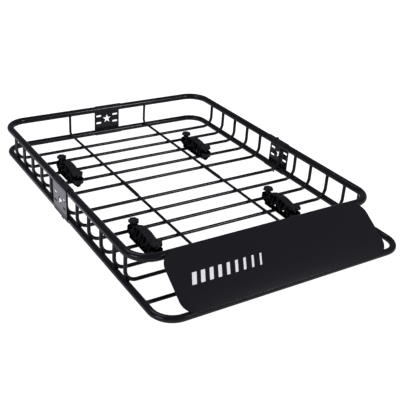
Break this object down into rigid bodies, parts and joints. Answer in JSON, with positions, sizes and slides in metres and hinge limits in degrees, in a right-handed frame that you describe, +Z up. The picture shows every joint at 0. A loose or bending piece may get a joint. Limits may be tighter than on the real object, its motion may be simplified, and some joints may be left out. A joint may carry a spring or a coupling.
{
  "type": "roof cargo basket",
  "caption": "Tubular steel roof basket with a sloped wind fairing, star plates on three sides and screw clamps that grip a vehicle's roof crossbars.",
  "frame": {"origin": "centre of the footprint, at the height of the lowest bolt end", "axes": "+Y along the basket, from the fairing at the front to the rear rail; +X to the right as seen from the front; +Z up"},
  "size_m": [0.918, 1.2985, 0.1474],
  "materials": {
    "black_powder_coat": "satin black powder coat with a fine texture",
    "fairing_sheet": "satin to gloss near-black sheet",
    "black_nylon": "glass-filled nylon, moulded",
    "knob_plastic": "moulded black plastic, slightly glossy",
    "rubber_pad": "matt rubber strip",
    "zinc_steel": "bright zinc plate",
    "black_steel": "black oxide",
    "bare_steel": "plain drawn tube, hidden inside the rails"
  },
  "bodies": {
    "basket": {"top_rail_rear": "black_powder_coat", "top_rail_front": "black_powder_coat", "bottom_rail_rear": "black_powder_coat", "bottom_rail_front": "black_powder_coat", "rod_left": "black_powder_coat", "rod_right": "black_powder_coat", "rod_sleeves": "black_powder_coat", "brace_bar": "black_powder_coat", "rail_joiners": "bare_steel", "plate_left": "black_powder_coat", "plate_right": "black_powder_coat", "plate_rear": "black_powder_coat", "plate_bolts": "black_steel", "plate_nuts": "black_steel", "fairing": "fairing_sheet", "fairing_clips": "black_nylon", "cross_bar_1": "black_powder_coat", "cross_bar_2": "black_powder_coat", "cross_bar_3": "black_powder_coat", "cross_bar_4": "black_powder_coat", "cross_bar_5": "black_powder_coat", "cross_bar_6": "black_powder_coat", "cross_bar_7": "black_powder_coat", "cross_bar_8": "black_powder_coat", "cross_bar_9": "black_powder_coat", "cross_bar_10": "black_powder_coat", "cross_bar_11": "black_powder_coat"},
    "fl_clamp": {"fl_saddle": "black_nylon"},
    "fl_lower_jaw": {"fl_jaw": "black_nylon", "fl_bolts": "zinc_steel", "fl_pad": "rubber_pad"},
    "fl_knob_rear": {"fl_knob_a": "knob_plastic", "fl_collar_a": "zinc_steel"},
    "fl_knob_front": {"fl_knob_b": "knob_plastic", "fl_collar_b": "zinc_steel"},
    "fr_clamp": {"fr_saddle": "black_nylon"},
    "fr_lower_jaw": {"fr_jaw": "black_nylon", "fr_bolts": "zinc_steel", "fr_pad": "rubber_pad"},
    "fr_knob_rear": {"fr_knob_a": "knob_plastic", "fr_collar_a": "zinc_steel"},
    "fr_knob_front": {"fr_knob_b": "knob_plastic", "fr_collar_b": "zinc_steel"},
    "rl_clamp": {"rl_saddle": "black_nylon"},
    "rl_lower_jaw": {"rl_jaw": "black_nylon", "rl_bolts": "zinc_steel", "rl_pad": "rubber_pad"},
    "rl_knob_rear": {"rl_knob_a": "knob_plastic", "rl_collar_a": "zinc_steel"},
    "rl_knob_front": {"rl_knob_b": "knob_plastic", "rl_collar_b": "zinc_steel"},
    "rr_clamp": {"rr_saddle": "black_nylon"},
    "rr_lower_jaw": {"rr_jaw": "black_nylon", "rr_bolts": "zinc_steel", "rr_pad": "rubber_pad"},
    "rr_knob_rear": {"rr_knob_a": "knob_plastic", "rr_collar_a": "zinc_steel"},
    "rr_knob_front": {"rr_knob_b": "knob_plastic", "rr_collar_b": "zinc_steel"}
  },
  "joints": [
    {"name": "fl_shift", "type": "slide", "parent": "basket", "child": "fl_clamp", "axis": [1, 0, 0], "range_m": [-0.08, 0.085]},
    {"name": "fl_knob_a_turn", "type": "hinge", "parent": "fl_clamp", "child": "fl_knob_rear", "pos_m": [-0.295, -0.1776, 0.07], "axis": [0, 0, 1], "range_deg": [0, 5040]},
    {"name": "fl_knob_b_turn", "type": "hinge", "parent": "fl_clamp", "child": "fl_knob_front", "pos_m": [-0.295, -0.3326, 0.07], "axis": [0, 0, 1], "range_deg": [0, 5041]},
    {"name": "fl_jaw_drop", "type": "slide", "parent": "fl_clamp", "child": "fl_lower_jaw", "axis": [0, 0, -1], "range_m": [0, 0.01401]},
    {"name": "fr_shift", "type": "slide", "parent": "basket", "child": "fr_clamp", "axis": [1, 0, 0], "range_m": [-0.038, 0.13]},
    {"name": "fr_knob_a_turn", "type": "hinge", "parent": "fr_clamp", "child": "fr_knob_rear", "pos_m": [0.243, -0.1776, 0.07], "axis": [0, 0, 1], "range_deg": [0, 5040]},
    {"name": "fr_knob_b_turn", "type": "hinge", "parent": "fr_clamp", "child": "fr_knob_front", "pos_m": [0.243, -0.3326, 0.07], "axis": [0, 0, 1], "range_deg": [0, 5041]},
    {"name": "fr_jaw_drop", "type": "slide", "parent": "fr_clamp", "child": "fr_lower_jaw", "axis": [0, 0, -1], "range_m": [0, 0.01401]},
    {"name": "rl_shift", "type": "slide", "parent": "basket", "child": "rl_clamp", "axis": [1, 0, 0], "range_m": [-0.06, 0.11]},
    {"name": "rl_knob_a_turn", "type": "hinge", "parent": "rl_clamp", "child": "rl_knob_rear", "pos_m": [-0.318, 0.3725, 0.07], "axis": [0, 0, 1], "range_deg": [0, 5040]},
    {"name": "rl_knob_b_turn", "type": "hinge", "parent": "rl_clamp", "child": "rl_knob_front", "pos_m": [-0.318, 0.2175, 0.07], "axis": [0, 0, 1], "range_deg": [0, 5041]},
    {"name": "rl_jaw_drop", "type": "slide", "parent": "rl_clamp", "child": "rl_lower_jaw", "axis": [0, 0, -1], "range_m": [0, 0.01401]},
    {"name": "rr_shift", "type": "slide", "parent": "basket", "child": "rr_clamp", "axis": [1, 0, 0], "range_m": [-0.032, 0.14]},
    {"name": "rr_knob_a_turn", "type": "hinge", "parent": "rr_clamp", "child": "rr_knob_rear", "pos_m": [0.236, 0.3805, 0.07], "axis": [0, 0, 1], "range_deg": [0, 5040]},
    {"name": "rr_knob_b_turn", "type": "hinge", "parent": "rr_clamp", "child": "rr_knob_front", "pos_m": [0.236, 0.2255, 0.07], "axis": [0, 0, 1], "range_deg": [0, 5041]},
    {"name": "rr_jaw_drop", "type": "slide", "parent": "rr_clamp", "child": "rr_lower_jaw", "axis": [0, 0, -1], "range_m": [0, 0.01401]}
  ],
  "couplings": [
    {"joint": "fl_knob_b_turn", "follows": "fl_knob_a_turn", "ratio": 1},
    {"joint": "fl_jaw_drop", "follows": "fl_knob_a_turn", "m_per_rad": 0.00015915},
    {"joint": "fr_knob_b_turn", "follows": "fr_knob_a_turn", "ratio": 1},
    {"joint": "fr_jaw_drop", "follows": "fr_knob_a_turn", "m_per_rad": 0.00015915},
    {"joint": "rl_knob_b_turn", "follows": "rl_knob_a_turn", "ratio": 1},
    {"joint": "rl_jaw_drop", "follows": "rl_knob_a_turn", "m_per_rad": 0.00015915},
    {"joint": "rr_knob_b_turn", "follows": "rr_knob_a_turn", "ratio": 1},
    {"joint": "rr_jaw_drop", "follows": "rr_knob_a_turn", "m_per_rad": 0.00015915}
  ]
}
